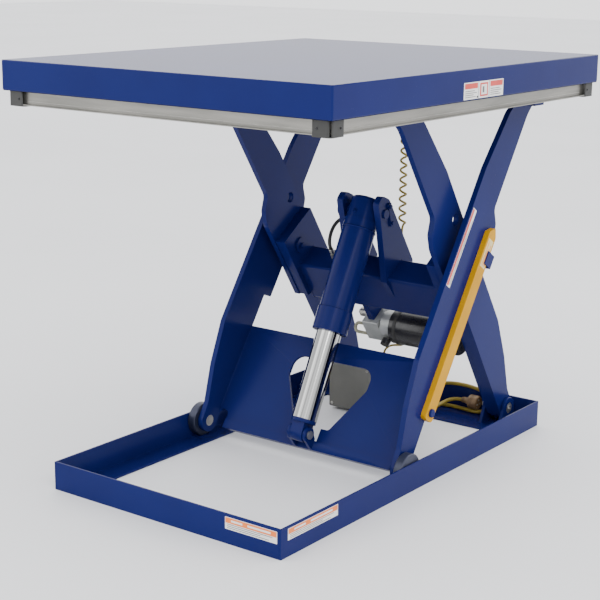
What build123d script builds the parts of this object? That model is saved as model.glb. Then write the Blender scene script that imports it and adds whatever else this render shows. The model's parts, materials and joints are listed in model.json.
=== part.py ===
from build123d import *
import math
import os

# Scissor lift table, standing on the floor. Millimetres, +Z up, +X towards the fixed pivots,
# origin on the floor at the middle of the whole table. "near" is the -Y side, "far" the +Y side.

# ---- driving dimensions ----
platform_length = 1524
platform_width = 1219
platform_top = 1331
skirt_depth = 91
deck_thickness = 6.4
platform_x = -5
base_length = 1520
base_width = 895
base_height = 92
base_x = 7
flange_width = 89
steel = 6.4
leg_span = 1386
pivot_x = 707
low_pivot_z = 64
high_pivot_z = 1211
pin_radius = 19
running_gap = 0.05
outer_leg_y = 396.5
inner_leg_y = 338.5
leg_thickness = 19
doubler_thickness = 38
roller_radius = 57.2
roller_width = 30
barrel_radius = 57
rod_radius = 43

# ---- worked out from them ----
fold = math.asin((high_pivot_z - low_pivot_z) / leg_span)
half_span = leg_span / 2
centre_x = pivot_x - half_span * math.cos(fold)
centre_z = low_pivot_z + half_span * math.sin(fold)
roller_x = pivot_x - leg_span * math.cos(fold)
deck_underside = platform_top - deck_thickness
skirt_bottom = platform_top - skirt_depth
inner_leg_inside = inner_leg_y - leg_thickness / 2
doubler_y = inner_leg_inside - doubler_thickness / 2
doubler_inside = inner_leg_inside - doubler_thickness
outer_leg_inside = outer_leg_y - leg_thickness / 2
outer_leg_outside = outer_leg_y + leg_thickness / 2
rail_inside = base_width / 2 - steel
sides = {"near": -1, "far": 1}

os.makedirs("parts", exist_ok=True)


def save(piece, name):
    piece.part.label = name
    export_step(piece.part, f"parts/{name}.step")


def outer_plane(y):
    """Leg plane of the outer pair: x along the leg to its upper end, y square to it, upwards."""
    return Plane(
        origin=(centre_x, y, centre_z),
        x_dir=(math.cos(fold), 0, math.sin(fold)),
        z_dir=(0, -1, 0),
    )


def inner_plane(y):
    """Leg plane of the inner pair: x along the leg to its upper end, y square to it, upwards."""
    return Plane(
        origin=(centre_x, y, centre_z),
        x_dir=(-math.cos(fold), 0, math.sin(fold)),
        z_dir=(0, 1, 0),
    )


def side_plane(y):
    """Upright plane across the table: x to the right, y up, facing the near side."""
    return Plane(origin=(0, y, 0), x_dir=(1, 0, 0), z_dir=(0, -1, 0))


# ======================= base =======================

# Long rails: angle iron, web outside, flange inwards on the floor.
with BuildPart() as side_rails:
    for sign in (-1, 1):
        with BuildSketch(Plane.YZ.offset(base_x - base_length / 2)):
            with BuildLine():
                Polyline(
                    (sign * base_width / 2, 0),
                    (sign * base_width / 2, base_height),
                    (sign * rail_inside, base_height),
                    (sign * rail_inside, steel),
                    (sign * (base_width / 2 - flange_width), steel),
                    (sign * (base_width / 2 - flange_width), 0),
                    close=True,
                )
            make_face()
        extrude(amount=base_length)
save(side_rails, "base_side_rails")

# Front and rear rails between them. The front one has a flange, which stops at the long rails'
# flanges; the rear one stands against the wide plate that carries the fixed pivots.
base_front = base_x - base_length / 2
base_rear = base_x + base_length / 2
inside_flanges = base_width - 2 * flange_width
with BuildPart() as end_rails:
    for x, foot in ((base_front, flange_width), (base_rear - steel, steel)):
        with BuildSketch(Plane.XY.offset(steel)):
            with Locations((x + steel / 2, 0)):
                Rectangle(steel, 2 * rail_inside)
        extrude(amount=base_height - steel)
        with BuildSketch(Plane.XY):
            with Locations((x + foot / 2, 0)):
                Rectangle(foot, inside_flanges)
        extrude(amount=steel)
save(end_rails, "base_end_rails")

end_plate_front = 594
with BuildPart() as end_plate:
    with BuildSketch(Plane.XY):
        with Locations(((end_plate_front + base_rear - steel) / 2, 0)):
            Rectangle(base_rear - steel - end_plate_front, inside_flanges)
    extrude(amount=steel)
save(end_plate, "base_end_plate")

# Four lugs, two beside each inner leg, with a pin through each pair.
lug_radius = 38
lug_thickness = 12
outer_lug_y = 356
inner_lug_y = 280
lug_foot_front = 62
lug_foot_rear = 48


def lug_profile(z, foot_z, radius, foot_rear):
    """A lug's side view: a tapered foot on the plate, round about the pin."""
    with BuildLine() as edge:
        Polyline(
            (pivot_x - lug_foot_front, foot_z),
            (pivot_x - radius, z),
            (pivot_x + radius, z),
            (pivot_x + foot_rear, foot_z),
            close=True,
        )
    make_face(edge.edges())
    with Locations((pivot_x, z)):
        Circle(radius)
        Circle(pin_radius, mode=Mode.SUBTRACT)


with BuildPart() as lower_lugs:
    for y in (-outer_lug_y, -inner_lug_y, inner_lug_y, outer_lug_y):
        with BuildSketch(side_plane(y)):
            lug_profile(low_pivot_z, steel, lug_radius, lug_foot_rear)
        extrude(amount=lug_thickness / 2, both=True)
save(lower_lugs, "lower_pivot_lugs")

pin_outer_end = outer_lug_y + lug_thickness / 2
pin_inner_end = inner_lug_y - lug_thickness / 2
with BuildPart() as lower_pins:
    for sign in (-1, 1):
        with BuildSketch(side_plane(sign * (pin_inner_end + pin_outer_end) / 2)):
            with Locations((pivot_x, low_pivot_z)):
                Circle(pin_radius)
        extrude(amount=(pin_outer_end - pin_inner_end) / 2, both=True)
        with BuildSketch(side_plane(sign * (pin_inner_end - 4))):
            with Locations((pivot_x, low_pivot_z)):
                Circle(pin_radius + 5)
        extrude(amount=4, both=True)
save(lower_pins, "lower_pivot_pins")

# ======================= legs =======================

leg_end_radius = 40
leg_head_radius = 34
outline = [
    (-693, -40),
    (-330, -32),
    (-196, -31),
    (-188, -70),
    (150, -70),
    (200, -52),
    (236, -10),
    (596, -10),
    (693, -33),
    (706, 30),
    (544, 100),
    (320, 126),
    (-364, 122),
    (-514, 89),
    (-640, 44),
    (-693, 40),
]
outline_radii = [0, 0, 6, 6, 60, 30, 30, 120, 20, 30, 60, 60, 40, 60, 40, 0]
foot_bore = pin_radius + running_gap


def leg_profile():
    with BuildLine() as edge:
        FilletPolyline(*outline, radius=outline_radii, close=True)
    make_face(edge.edges())
    with Locations((-half_span, 0)):
        Circle(leg_end_radius)
    with Locations((half_span, 0)):
        Circle(leg_head_radius)


# Outer legs: the foot carries a roller, the head turns on the platform's fixed pivot.
with BuildPart() as outer_legs:
    for sign in (-1, 1):
        with BuildSketch(outer_plane(sign * outer_leg_y)):
            leg_profile()
            with Locations((half_span, 0)):
                Circle(pin_radius + running_gap, mode=Mode.SUBTRACT)
            with Locations((-half_span, 0)):
                Circle(pin_radius, mode=Mode.SUBTRACT)
        extrude(amount=leg_thickness / 2, both=True)
save(outer_legs, "outer_legs")

# Inner legs: the foot turns on the base, the head carries a roller under the deck.
light_hole = (147, 84)
light_hole_radius = 18.5
with BuildPart() as inner_legs:
    for sign in (-1, 1):
        with BuildSketch(inner_plane(sign * inner_leg_y)):
            leg_profile()
            with Locations((-half_span, 0), (0, 0)):
                Circle(pin_radius + running_gap, mode=Mode.SUBTRACT)
            with Locations((half_span, 0)):
                Circle(pin_radius, mode=Mode.SUBTRACT)
            with Locations(light_hole):
                Circle(light_hole_radius, mode=Mode.SUBTRACT)
        extrude(amount=leg_thickness / 2, both=True)
save(inner_legs, "inner_legs")

# Thick bars on the inside of the inner legs, from the foot to just above the centre pin.
doubler_top = 72
with BuildPart() as doublers:
    for sign in (-1, 1):
        with BuildSketch(inner_plane(sign * doubler_y)):
            with BuildLine():
                FilletPolyline(
                    (-half_span, -40),
                    (-330, -32),
                    (-196, -31),
                    (-188, -66),
                    (doubler_top, -66),
                    (doubler_top, 118),
                    (-364, 118),
                    (-514, 85),
                    (-640, 44),
                    (-half_span, 40),
                    radius=[0, 0, 6, 6, 0, 0, 40, 60, 40, 0],
                    close=True,
                )
            make_face()
            with Locations((-half_span, 0)):
                Circle(leg_end_radius)
            with Locations((-half_span, 0), (0, 0)):
                Circle(pin_radius + running_gap, mode=Mode.SUBTRACT)
        extrude(amount=doubler_thickness / 2, both=True)
save(doublers, "leg_doublers")

# Centre pins: welded to the outer legs' inner faces, turning in the inner legs, each with a
# retaining disc and a bolt head at its inner end.
retainer_thickness = 6
with BuildPart() as centre_pins:
    for sign in (-1, 1):
        length = outer_leg_inside - doubler_inside + 1
        with BuildSketch(side_plane(sign * (outer_leg_inside - length / 2))):
            with Locations((centre_x, centre_z)):
                Circle(pin_radius)
        extrude(amount=length / 2, both=True)
        with BuildSketch(side_plane(sign * (doubler_inside - 1 - retainer_thickness / 2))):
            with Locations((centre_x, centre_z)):
                Circle(pin_radius + 10)
        extrude(amount=retainer_thickness / 2, both=True)
        with BuildSketch(side_plane(sign * (doubler_inside - 1 - retainer_thickness - 4))):
            with Locations((centre_x, centre_z)):
                RegularPolygon(11, 6)
        extrude(amount=4, both=True)
save(centre_pins, "centre_pins")

# ---- rollers ----
roller_bore = 15
axle_radius = roller_bore - running_gap
lower_roller_y = 424
upper_roller_y = 367.5
axle_cap = 3


def roller(y, z):
    with BuildSketch(side_plane(y)) as wheel:
        with Locations((roller_x, z)):
            Circle(roller_radius)
            Circle(roller_bore, mode=Mode.SUBTRACT)
    extrude(wheel.sketch, amount=roller_width / 2, both=True)


for side, sign in sides.items():
    with BuildPart() as lower_roller:
        roller(sign * lower_roller_y, low_pivot_z)
        chamfer(lower_roller.edges().filter_by(GeomType.CIRCLE).group_by(SortBy.RADIUS)[-1], 3)
    save(lower_roller, f"lower_roller_{side}")
    with BuildPart() as upper_roller:
        roller(sign * upper_roller_y, high_pivot_z)
        chamfer(upper_roller.edges().filter_by(GeomType.CIRCLE).group_by(SortBy.RADIUS)[-1], 3)
    save(upper_roller, f"upper_roller_{side}")


def stepped_axle(z, sign, thick_from, thick_to, thin_to):
    """Axle across a leg: full size in the leg's hole, reduced where the roller turns on it."""
    with BuildSketch(side_plane(sign * (thick_from + thick_to) / 2)) as shank:
        with Locations((roller_x, z)):
            Circle(pin_radius)
    extrude(shank.sketch, amount=abs(thick_to - thick_from) / 2, both=True)
    with BuildSketch(side_plane(sign * (thick_to + thin_to) / 2)) as journal:
        with Locations((roller_x, z)):
            Circle(axle_radius)
    extrude(journal.sketch, amount=abs(thin_to - thick_to) / 2, both=True)


with BuildPart() as lower_axles:
    for sign in (-1, 1):
        stepped_axle(low_pivot_z, sign, outer_leg_inside, outer_leg_outside + 1.5, rail_inside - 0.8)
save(lower_axles, "lower_roller_axles")

with BuildPart() as upper_axles:
    for sign in (-1, 1):
        leg_outside = inner_leg_y + leg_thickness / 2
        stepped_axle(high_pivot_z, sign, inner_leg_inside, leg_outside + 2, outer_leg_inside - 1.5)
save(upper_axles, "upper_roller_axles")

# ======================= members between the outer legs =======================

# Wide plate welded between the outer legs, arched round the cylinder.
torque_top = -319
torque_bottom = -668
torque_face = -31
torque_thickness = 10


def torque_plane(height):
    """Plane lying along both outer legs: x up the legs, y to the far side."""
    return Plane(
        origin=(centre_x - height * math.sin(fold), 0, centre_z + height * math.cos(fold)),
        x_dir=(math.cos(fold), 0, math.sin(fold)),
        z_dir=(-math.sin(fold), 0, math.cos(fold)),
    )


arch_top = -387
arch_shoulder = -440
arch_half_width = 162
slot_top = -622
slot_half_width = 42
notch_width = 40
notch_height = 14
with BuildPart() as torque_plate:
    with BuildSketch(torque_plane(torque_face)):
        with Locations(((torque_top + torque_bottom) / 2, 0)):
            Rectangle(torque_top - torque_bottom, 2 * outer_leg_inside)
        with BuildLine():
            FilletPolyline(
                (arch_top, -arch_half_width),
                (arch_top, arch_half_width),
                (arch_shoulder - 22, arch_half_width),
                (slot_top, 72),
                (slot_top, slot_half_width),
                (torque_bottom - 10, slot_half_width),
                (torque_bottom - 10, -slot_half_width),
                (slot_top, -slot_half_width),
                (slot_top, -72),
                (arch_shoulder - 22, -arch_half_width),
                radius=[42, 42, 30, 14, 2, 0, 0, 2, 14, 30],
                close=True,
            )
        make_face(mode=Mode.SUBTRACT)
        for y in (notch_width / 2 - outer_leg_inside, outer_leg_inside - notch_width / 2):
            with Locations((torque_bottom + notch_height / 2, y)):
                Rectangle(notch_height, notch_width, mode=Mode.SUBTRACT)
            with Locations((torque_bottom + notch_height, y)):
                Circle(notch_width / 2, mode=Mode.SUBTRACT)
    extrude(amount=-torque_thickness)
save(torque_plate, "torque_plate")

foot_bar_height = 32
foot_bar_depth = 26
foot_bar_clear = 6

# ======================= cylinder =======================

rod_pin_s = -661
rod_pin_n = 13
head_pin_s = 149.5
head_pin_n = 63.7
head_x = centre_x - head_pin_s * math.cos(fold) + head_pin_n * math.sin(fold)
head_z = centre_z + head_pin_s * math.sin(fold) + head_pin_n * math.cos(fold)
foot_x = centre_x + rod_pin_s * math.cos(fold) - rod_pin_n * math.sin(fold)
foot_z = centre_z + rod_pin_s * math.sin(fold) + rod_pin_n * math.cos(fold)
cylinder_length = math.hypot(head_x - foot_x, head_z - foot_z)
axis_x = (head_x - foot_x) / cylinder_length
axis_z = (head_z - foot_z) / cylinder_length


def cylinder_plane(distance):
    """Plane square to the cylinder, this far down from the head pin, facing the rod end."""
    return Plane(
        origin=(head_x - distance * axis_x, 0, head_z - distance * axis_z),
        x_dir=(0, 1, 0),
        z_dir=(-axis_x, 0, -axis_z),
    )


barrel_wall = 8
barrel_start = 34
barrel_end = 352
gland_end = 432
gland_radius = 60.5
head_radius = 54
head_above_pin = 44
head_pin_radius = 16
with BuildPart() as head:
    with BuildSketch(cylinder_plane(-head_above_pin)):
        Circle(head_radius)
    extrude(amount=barrel_start + head_above_pin)
    fillet(head.edges().filter_by(GeomType.CIRCLE).sort_by(Axis.Z)[-1], 12)
    with BuildSketch(side_plane(0)):
        with Locations((head_x, head_z)):
            Circle(head_pin_radius + running_gap)
    extrude(amount=head_radius + 5, both=True, mode=Mode.SUBTRACT)
save(head, "cylinder_head")

with BuildPart() as barrel:
    with BuildSketch(cylinder_plane(barrel_start)):
        Circle(barrel_radius)
        Circle(barrel_radius - barrel_wall, mode=Mode.SUBTRACT)
    extrude(amount=barrel_end - barrel_start)
save(barrel, "cylinder_barrel")

with BuildPart() as gland:
    with BuildSketch(cylinder_plane(barrel_end)):
        Circle(gland_radius)
        Circle(rod_radius + 0.1, mode=Mode.SUBTRACT)
    extrude(amount=gland_end - barrel_end)
    chamfer(gland.edges().filter_by(GeomType.CIRCLE).group_by(SortBy.RADIUS)[-1], 2)
save(gland, "cylinder_gland")

rod_top = 320
rod_bottom = 735
piston_length = 23
disc_thickness = 12
with BuildPart() as rod:
    with BuildSketch(cylinder_plane(rod_top)):
        Circle(rod_radius)
    extrude(amount=rod_bottom - rod_top)
save(rod, "cylinder_rod")

with BuildPart() as piston:
    with BuildSketch(cylinder_plane(rod_top - piston_length)):
        Circle(barrel_radius - barrel_wall - 0.1)
    extrude(amount=piston_length)
save(piston, "cylinder_piston")

# Saddle on the rod's end: open away from the table's front, so it rests on the lower pin.
saddle_radius = 28
saddle_half_width = 24
rod_pin_radius = 14
saddle_seat = rod_pin_radius + 0.3
mouth_half_width = 25.5
neck = cylinder_length - rod_bottom - disc_thickness
with BuildPart() as rod_end:
    with BuildSketch(cylinder_plane(rod_bottom)):
        Circle(rod_radius - 1)
    extrude(amount=disc_thickness)
    with BuildSketch(
        Plane(origin=(foot_x, 0, foot_z), x_dir=(axis_x, 0, axis_z), z_dir=(0, -1, 0))
    ):
        Circle(saddle_radius)
        with Locations((neck / 2, 0)):
            Rectangle(neck, 2 * saddle_radius)
        Circle(saddle_seat, mode=Mode.SUBTRACT)
        with BuildLine():
            Polyline(
                (-saddle_seat, 0),
                (saddle_seat, 0),
                (mouth_half_width, -saddle_radius - 2),
                (-mouth_half_width, -saddle_radius - 2),
                close=True,
            )
        make_face(mode=Mode.SUBTRACT)
    extrude(amount=saddle_half_width, both=True)
save(rod_end, "rod_end_saddle")

# Square bar across the feet below the plate, with a lug each side of the saddle standing on it.
rod_lug_y = 32
rod_lug_thickness = 12
with BuildPart() as foot_bar:
    with BuildSketch(torque_plane(torque_face + 5)):
        with Locations((torque_bottom - foot_bar_height / 2, 0)):
            Rectangle(foot_bar_height, 2 * (outer_leg_inside - notch_width))
    extrude(amount=-foot_bar_depth)
    for sign in (-1, 1):
        with BuildSketch(outer_plane(sign * rod_lug_y)):
            with Locations((rod_pin_s, rod_pin_n)):
                Circle(rod_pin_radius + 12)
            with BuildLine():
                Polyline(
                    (rod_pin_s - 26, rod_pin_n),
                    (rod_pin_s + 26, rod_pin_n),
                    (torque_bottom + foot_bar_clear, torque_face + 5),
                    (torque_bottom - foot_bar_height, torque_face + 5),
                    close=True,
                )
            make_face()
            with Locations((rod_pin_s, rod_pin_n)):
                Circle(rod_pin_radius, mode=Mode.SUBTRACT)
        extrude(amount=rod_lug_thickness / 2, both=True)
save(foot_bar, "foot_bar")

with BuildPart() as rod_pin:
    with BuildSketch(outer_plane(0)):
        with Locations((rod_pin_s, rod_pin_n)):
            Circle(rod_pin_radius)
    extrude(amount=rod_lug_y + rod_lug_thickness / 2 + 5, both=True)
save(rod_pin, "rod_pin")

# ======================= members between the inner legs =======================

# Rectangular tube between the doublers, square to the legs.
tube_top = -55
tube_bottom = -220
tube_front = -44.5
tube_back = 57.5
tube_wall = 8
with BuildPart() as cross_tube:
    with BuildSketch(inner_plane(0)):
        with Locations(((tube_top + tube_bottom) / 2, (tube_front + tube_back) / 2)):
            RectangleRounded(tube_top - tube_bottom, tube_back - tube_front, 9)
            RectangleRounded(
                tube_top - tube_bottom - 2 * tube_wall,
                tube_back - tube_front - 2 * tube_wall,
                3,
                mode=Mode.SUBTRACT,
            )
    extrude(amount=doubler_inside, both=True)
save(cross_tube, "cross_tube")

# Two ears astride the tube hold the cylinder's head.
ear_inside = 62
ear_thickness = 24
with BuildPart() as ears:
    for sign in (-1, 1):
        with BuildSketch(inner_plane(sign * (ear_inside + ear_thickness / 2))):
            with BuildLine():
                FilletPolyline(
                    (-141, tube_front),
                    (-60, -56),
                    (140, 28),
                    (205, 50),
                    (212, 85),
                    (175, 110),
                    (-108, 110),
                    (-150, tube_back),
                    (tube_top, tube_back),
                    (tube_top, tube_front),
                    radius=[0, 8, 30, 18, 18, 30, 12, 0, 0, 0],
                    close=True,
                )
            make_face()
            with Locations((head_pin_s, head_pin_n)):
                Circle(head_pin_radius, mode=Mode.SUBTRACT)
        extrude(amount=ear_thickness / 2, both=True)
save(ears, "cylinder_ears")

ear_outside = ear_inside + ear_thickness
with BuildPart() as head_pin:
    with BuildSketch(side_plane(0)):
        with Locations((head_x, head_z)):
            Circle(head_pin_radius)
    extrude(amount=ear_outside + 6, both=True)
    with BuildSketch(side_plane(ear_outside + 4)):
        with Locations((head_x, head_z)):
            Circle(head_pin_radius + 9)
    extrude(amount=4, both=True)
save(head_pin, "head_pin")

keeper_offset = head_pin_radius + 12
with BuildPart() as keeper:
    with BuildSketch(
        Plane(
            origin=(head_x + keeper_offset, -ear_outside, head_z - 6),
            x_dir=(0.26, 0, -0.966),
            z_dir=(0, -1, 0),
        )
    ):
        RectangleRounded(84, 18, 4)
    extrude(amount=7)
    for step in (-30, 30):
        with BuildSketch(
            Plane(
                origin=(head_x + keeper_offset + 0.26 * step, -ear_outside - 7, head_z - 6 - 0.966 * step),
                x_dir=(1, 0, 0),
                z_dir=(0, -1, 0),
            )
        ):
            RegularPolygon(7, 6)
        extrude(amount=5)
save(keeper, "head_pin_keeper")

# ---- hydraulic power unit, below the tube and square to the legs ----
unit_s = -350
unit_n = 0
tank_radius = 63
tank_near = -270
tank_far = 0
adapter_far = 46
block_far = 112
block_half = 46
unit_x = centre_x - unit_s * math.cos(fold) + unit_n * math.sin(fold)
unit_z = centre_z + unit_s * math.sin(fold) + unit_n * math.cos(fold)


def unit_disc(y, radius, hole, length):
    """Round piece on the power unit's axis, from y towards the far side."""
    with BuildSketch(inner_plane(y)) as disc:
        with Locations((unit_s, unit_n)):
            Circle(radius)
            if hole:
                Circle(hole, mode=Mode.SUBTRACT)
    extrude(disc.sketch, amount=length)


with BuildPart() as oil_tank:
    unit_disc(tank_near, tank_radius, 0, tank_far - tank_near)
    fillet(oil_tank.edges().filter_by(GeomType.CIRCLE).sort_by(Axis.Y)[0], 8)
    with BuildSketch(inner_plane(tank_near + 4)) as bore:
        with Locations((unit_s, unit_n)):
            Circle(tank_radius - 4)
    extrude(bore.sketch, amount=tank_far - tank_near - 4, mode=Mode.SUBTRACT)
save(oil_tank, "oil_tank")

with BuildPart() as pump_motor:
    unit_disc(-190, 45, 0, 190)
save(pump_motor, "pump_motor")

with BuildPart() as adapter:
    unit_disc(tank_far, 52, 0, adapter_far - tank_far)
    fillet(adapter.edges().filter_by(GeomType.CIRCLE).sort_by(Axis.Y)[-1], 5)
save(adapter, "pump_adapter")

with BuildPart() as block:
    with BuildSketch(inner_plane(adapter_far)):
        with Locations((unit_s, unit_n)):
            RectangleRounded(2 * block_half, 2 * block_half, 6)
    extrude(amount=block_far - adapter_far)
save(block, "valve_block")

with BuildPart() as unit_bracket:
    with BuildSketch(inner_plane((adapter_far + block_far) / 2)):
        with Locations(((tube_bottom + unit_s + block_half) / 2, unit_n)):
            Rectangle(tube_bottom - unit_s - block_half, 60)
    extrude(amount=12, both=True)
save(unit_bracket, "power_unit_bracket")

with BuildPart() as solenoid:
    with BuildSketch(inner_plane(block_far)):
        with Locations((unit_s + 22, unit_n + 20)):
            Circle(17)
    extrude(amount=44)
    with BuildSketch(inner_plane(block_far + 44)):
        with Locations((unit_s + 22, unit_n + 20)):
            RegularPolygon(10, 6)
    extrude(amount=8)
save(solenoid, "lowering_valve")

with BuildPart() as breather:
    with BuildSketch(
        Plane(
            origin=(unit_x - 0.62 * tank_radius, 18, unit_z - 0.72 * tank_radius),
            x_dir=(0, 1, 0),
            z_dir=(-0.65, 0, -0.76),
        )
    ):
        Circle(17)
    extrude(amount=22)
save(breather, "filler_cap")


# ======================= safety bar on the near outer leg =======================

bar_inner_face = 406.5
bar_thickness = 19.5
bar_outer_face = bar_inner_face + bar_thickness
bar_low = -515
bar_high = 184
bar_upper_edge = 2
bar_lower_edge = -48
bar_bolt = (-488, -22)
bar_bolt_radius = 10
with BuildPart() as safety_bar:
    with BuildSketch(outer_plane(-bar_inner_face)):
        with BuildLine():
            FilletPolyline(
                (bar_low, bar_upper_edge),
                (bar_low, bar_lower_edge),
                (bar_high - 36, bar_lower_edge),
                (bar_high - 8, bar_lower_edge + 22),
                (bar_high - 34, bar_upper_edge),
                radius=[12, 12, 16, 6, 3],
                close=True,
            )
        make_face()
        with Locations(bar_bolt):
            Circle(bar_bolt_radius + running_gap, mode=Mode.SUBTRACT)
    extrude(amount=bar_thickness)
    chamfer(safety_bar.faces().sort_by(Axis.Y)[0].outer_wire().edges(), 1)
save(safety_bar, "safety_bar")

bolt_head = 8
with BuildPart() as safety_bolt:
    with BuildSketch(outer_plane(-outer_leg_outside)):
        with Locations(bar_bolt):
            Circle(bar_bolt_radius)
    extrude(amount=bar_outer_face - outer_leg_outside + 0.5)
    with BuildSketch(outer_plane(-bar_outer_face - 0.5)):
        with Locations(bar_bolt):
            Circle(bar_bolt_radius + 4)
    extrude(amount=bolt_head)
    fillet(safety_bolt.edges().filter_by(GeomType.CIRCLE).sort_by(Axis.Y)[0], 3)
save(safety_bolt, "safety_bar_bolt")

clip_length = 46
clip_middle = 68
with BuildPart() as clip:
    with BuildSketch(outer_plane(-outer_leg_outside)):
        with Locations((clip_middle, -59)):
            Rectangle(clip_length, 19)
    extrude(amount=bar_outer_face - outer_leg_outside + 1.5)
    with BuildSketch(outer_plane(-bar_outer_face - 1.5)):
        with Locations((clip_middle, -46.5)):
            Rectangle(clip_length, 44)
    extrude(amount=4)
save(clip, "safety_bar_clip")

# ======================= platform =======================

platform_left = platform_x - platform_length / 2
platform_right = platform_x + platform_length / 2
with BuildPart() as deck:
    with BuildSketch(Plane.XY.offset(skirt_bottom)):
        with Locations((platform_x, 0)):
            Rectangle(platform_length, platform_width)
    extrude(amount=skirt_depth)
    with BuildSketch(Plane.XY.offset(skirt_bottom)):
        with Locations((platform_x, 0)):
            Rectangle(platform_length - 2 * steel, platform_width - 2 * steel)
    extrude(amount=skirt_depth - deck_thickness, mode=Mode.SUBTRACT)
    fillet(deck.faces().sort_by(Axis.Z)[-1].outer_wire().edges(), 3)
save(deck, "platform_deck")

# Box tracks under the deck for the upper rollers.
track_left = -708
track_right = 20
track_y = 367.5
track_width = 31
track_clear = 0.4
track_height = deck_underside - high_pivot_z - roller_radius - track_clear
track_wall = 5
with BuildPart() as tracks:
    for sign in (-1, 1):
        with BuildSketch(Plane.YZ.offset(track_left)):
            with Locations((sign * track_y, deck_underside - track_height / 2)):
                Rectangle(track_width, track_height)
                Rectangle(track_width - 2 * track_wall, track_height - 2 * track_wall, mode=Mode.SUBTRACT)
        extrude(amount=track_right - track_left)
save(tracks, "roller_tracks")

stringer_y = 180
stringer_depth = 50
rib_depth = 54
rib_inner = 432
rib_outer = platform_width / 2 - steel
with BuildPart() as stiffeners:
    for y in (-stringer_y, stringer_y):
        with BuildSketch(Plane.YZ.offset(platform_left + steel)):
            with Locations((y, deck_underside - stringer_depth / 2)):
                Rectangle(40, stringer_depth)
            with Locations((y, deck_underside - stringer_depth / 2 - 2.5)):
                Rectangle(30, stringer_depth - 5, mode=Mode.SUBTRACT)
        extrude(amount=platform_length - 2 * steel)
    for sign in (-1, 1):
        for x in (-500, -170, 170, 500):
            with BuildSketch(Plane.XY.offset(deck_underside - rib_depth)):
                with Locations((x, sign * (rib_inner + rib_outer) / 2)):
                    Rectangle(steel, rib_outer - rib_inner)
            extrude(amount=rib_depth)
save(stiffeners, "deck_stiffeners")

upper_lug_radius = 33
upper_inner_lug_y = 377
upper_outer_lug_y = 417
lug_tail = 38
with BuildPart() as upper_lugs:
    for sign in (-1, 1):
        for y in (upper_inner_lug_y, upper_outer_lug_y):
            with BuildSketch(side_plane(sign * y)):
                lug_profile(high_pivot_z, deck_underside, upper_lug_radius, upper_lug_radius)
                with Locations((pivot_x, high_pivot_z - pin_radius - 1 - lug_tail / 2)):
                    Rectangle(2 * upper_lug_radius, lug_tail)
            extrude(amount=7, both=True)
save(upper_lugs, "upper_pivot_lugs")

with BuildPart() as upper_pins:
    for sign in (-1, 1):
        with BuildSketch(side_plane(sign * (upper_inner_lug_y + upper_outer_lug_y) / 2)):
            with Locations((pivot_x, high_pivot_z)):
                Circle(pin_radius)
        extrude(amount=(upper_outer_lug_y - upper_inner_lug_y) / 2 + 7, both=True)
        with BuildSketch(side_plane(sign * (upper_outer_lug_y + 11))):
            with Locations((pivot_x, high_pivot_z)):
                Circle(pin_radius + 5)
        extrude(amount=4, both=True)
save(upper_pins, "upper_pivot_pins")

# ---- toe guard: angle rails with plastic corners, hung below the skirt on bolts ----
guard_inset = 27
guard_thickness = 3
guard_top = skirt_bottom + 22
guard_bottom = 1198
guard_lip = 12
guard_flange = 22
guard_left = platform_left + guard_inset
guard_right = platform_right - 9
rear_lip = 6
guard_y = platform_width / 2 - guard_inset
hanger_hole = 5.5
hanger_in = 12


def guard_section(plane, out, at, lip):
    """Rail section: web with a lip outwards at the foot and a flange inwards at the top."""
    with BuildSketch(plane) as section:
        with BuildLine():
            Polyline(
                (at - out * guard_thickness, guard_bottom + guard_thickness),
                (at - out * guard_thickness, guard_top - guard_thickness),
                (at - out * guard_flange, guard_top - guard_thickness),
                (at - out * guard_flange, guard_top),
                (at, guard_top),
                (at, guard_bottom + guard_thickness),
                (at + out * lip, guard_bottom + guard_thickness),
                (at + out * lip, guard_bottom),
                (at - out * guard_thickness, guard_bottom),
                close=True,
            )
        make_face()
    return section.sketch


hanger_spots = [(x, y * (guard_y - hanger_in)) for x in (-600, -10, 600) for y in (-1, 1)]
hanger_spots += [(guard_left + hanger_in, y) for y in (-250, 250)]
hanger_spots += [(guard_right - hanger_in, y) for y in (-250, 250)]
end_rail_length = 2 * (guard_y - guard_flange - 1)
lug_notch = upper_outer_lug_y - upper_inner_lug_y + 26
with BuildPart() as guard_rails:
    for sign in (-1, 1):
        section = guard_section(Plane.YZ.offset(guard_left), sign, sign * guard_y, guard_lip)
        extrude(section, amount=guard_right - guard_left)
    for sign, at, lip in ((-1, guard_left, guard_lip), (1, guard_right, rear_lip)):
        section = guard_section(side_plane(-end_rail_length / 2), sign, at, lip)
        extrude(section, amount=-end_rail_length)
    with BuildSketch(Plane.XY.offset(guard_top)):
        with Locations(*hanger_spots):
            Circle(hanger_hole)
        for sign in (-1, 1):
            with Locations((guard_right - guard_flange, sign * (upper_inner_lug_y + upper_outer_lug_y) / 2)):
                Rectangle(2 * (guard_flange - guard_thickness), lug_notch)
    extrude(amount=-guard_thickness, mode=Mode.SUBTRACT)
save(guard_rails, "toe_guard_rails")

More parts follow.
